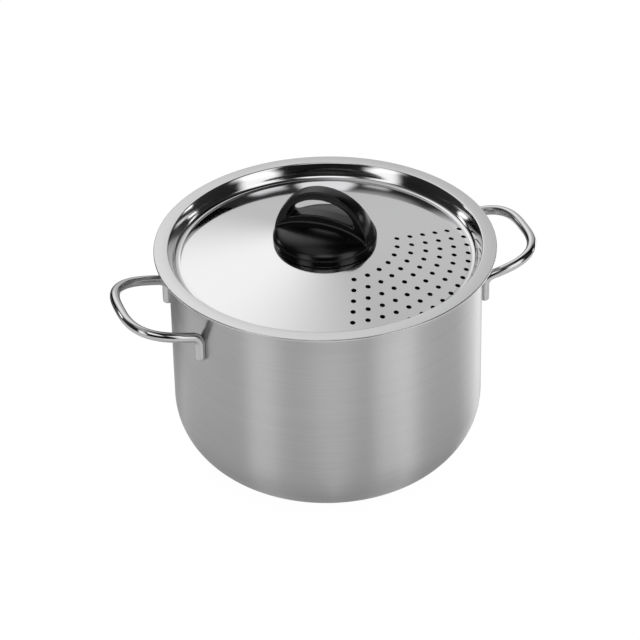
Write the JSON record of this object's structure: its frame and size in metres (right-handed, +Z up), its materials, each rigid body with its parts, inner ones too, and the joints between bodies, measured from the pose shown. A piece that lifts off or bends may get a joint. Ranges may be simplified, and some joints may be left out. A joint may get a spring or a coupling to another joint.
{
  "type": "pasta pot with strainer lid",
  "caption": "Tall steel pasta pot with a round bottom corner, two rod handles and a lift-off lid with a strainer sector and an arched plastic knob.",
  "frame": {"origin": "on the floor under the middle of the pot", "axes": "+Z up through the pot and the lid, +X towards the right handle"},
  "size_m": [0.3386, 0.264, 0.2345],
  "materials": {
    "shell_steel": "satin, brushed round",
    "core_aluminium": "raw",
    "base_steel": "turned",
    "rod_steel": "mirror polished stainless steel",
    "lid_steel": "polished stainless steel",
    "knob_plastic": "moulded, semi-gloss",
    "insert_brass": "turned",
    "fixing_steel": "zinc plated"
  },
  "bodies": {
    "pot": {"pot_body": "shell_steel", "base_core": "core_aluminium", "base_cap": "base_steel", "handle_left": "rod_steel", "handle_right": "rod_steel"},
    "lid": {"lid_shell": "lid_steel", "knob": "knob_plastic", "knob_insert": "insert_brass", "knob_washer": "fixing_steel", "knob_screw": "fixing_steel"}
  },
  "joints": [
    {"name": "lid_lift", "type": "slide", "parent": "pot", "child": "lid", "axis": [0, 0, 1], "range_m": [0, 0.15]}
  ]
}
